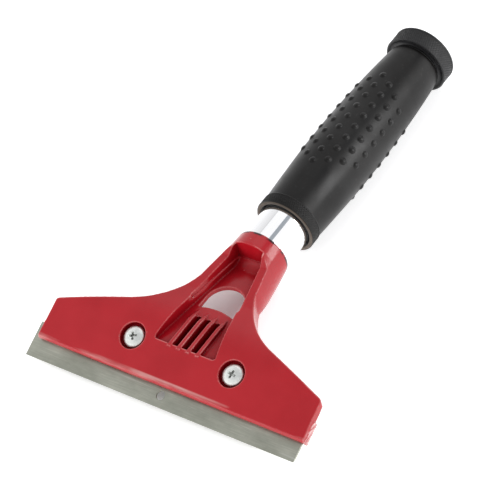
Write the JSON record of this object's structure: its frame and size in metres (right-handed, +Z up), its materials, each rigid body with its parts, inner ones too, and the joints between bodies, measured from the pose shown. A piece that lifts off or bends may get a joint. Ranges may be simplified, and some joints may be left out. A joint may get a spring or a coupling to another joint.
{
  "type": "floor scraper",
  "caption": "Short-handled floor scraper: a wide straight blade clamped under a bent cast head with a ribbed recess and a hanging hole, on a metal tube with a nubbed grip.",
  "frame": {"origin": "middle of the base of the whole tool's box", "axes": "+Y runs along the level handle from the blade to the end cap, +X along the blade, +Z up"},
  "size_m": [0.152, 0.2312, 0.0348],
  "materials": {
    "head_paint": "red gloss enamel over a casting",
    "blade_steel": "ground, lightly scratched",
    "clamp_steel": "plain mill steel",
    "screw_zinc": "zinc plated",
    "tube_metal": "bright drawn",
    "pin_steel": "blackened spring steel",
    "grip_rubber": "matte moulded",
    "bush_plastic": "moulded",
    "cap_plastic": "matte, finely knurled side"
  },
  "bodies": {
    "handle": {"head": "head_paint", "handle_tube": "tube_metal", "handle_pin": "pin_steel", "grip": "grip_rubber", "tube_bush": "bush_plastic"},
    "screw_left": {"screw_left": "screw_zinc"},
    "screw_right": {"screw_right": "screw_zinc"},
    "clamp_plate": {"clamp_plate": "clamp_steel"},
    "blade": {"blade": "blade_steel"},
    "end_cap": {"end_cap": "cap_plastic"}
  },
  "joints": [
    {"name": "screw_left_turn", "type": "hinge", "parent": "handle", "child": "screw_left", "pos_m": [-0.0257, -0.09279, 0.01529], "axis": [0, -0.3811, 0.9245], "range_deg": [0, 905]},
    {"name": "screw_right_turn", "type": "hinge", "parent": "handle", "child": "screw_right", "pos_m": [0.0295, -0.09279, 0.01529], "axis": [0, -0.3811, 0.9245], "range_deg": [0, 905]},
    {"name": "clamp_open", "type": "slide", "parent": "handle", "child": "clamp_plate", "axis": [0, 0.3811, -0.9245], "range_m": [0, 0.002]},
    {"name": "blade_slide", "type": "slide", "parent": "clamp_plate", "child": "blade", "axis": [0, -0.9245, -0.3811], "range_m": [0, 0.008]},
    {"name": "cap_turn", "type": "hinge", "parent": "handle", "child": "end_cap", "pos_m": [0.0019, 0.1064, 0.0174], "axis": [0, 1, 0], "range_deg": [0, 1080]}
  ],
  "couplings": [
    {"joint": "screw_left_turn", "follows": "clamp_open", "rad_per_m": 7854},
    {"joint": "screw_right_turn", "follows": "clamp_open", "rad_per_m": 7854}
  ]
}
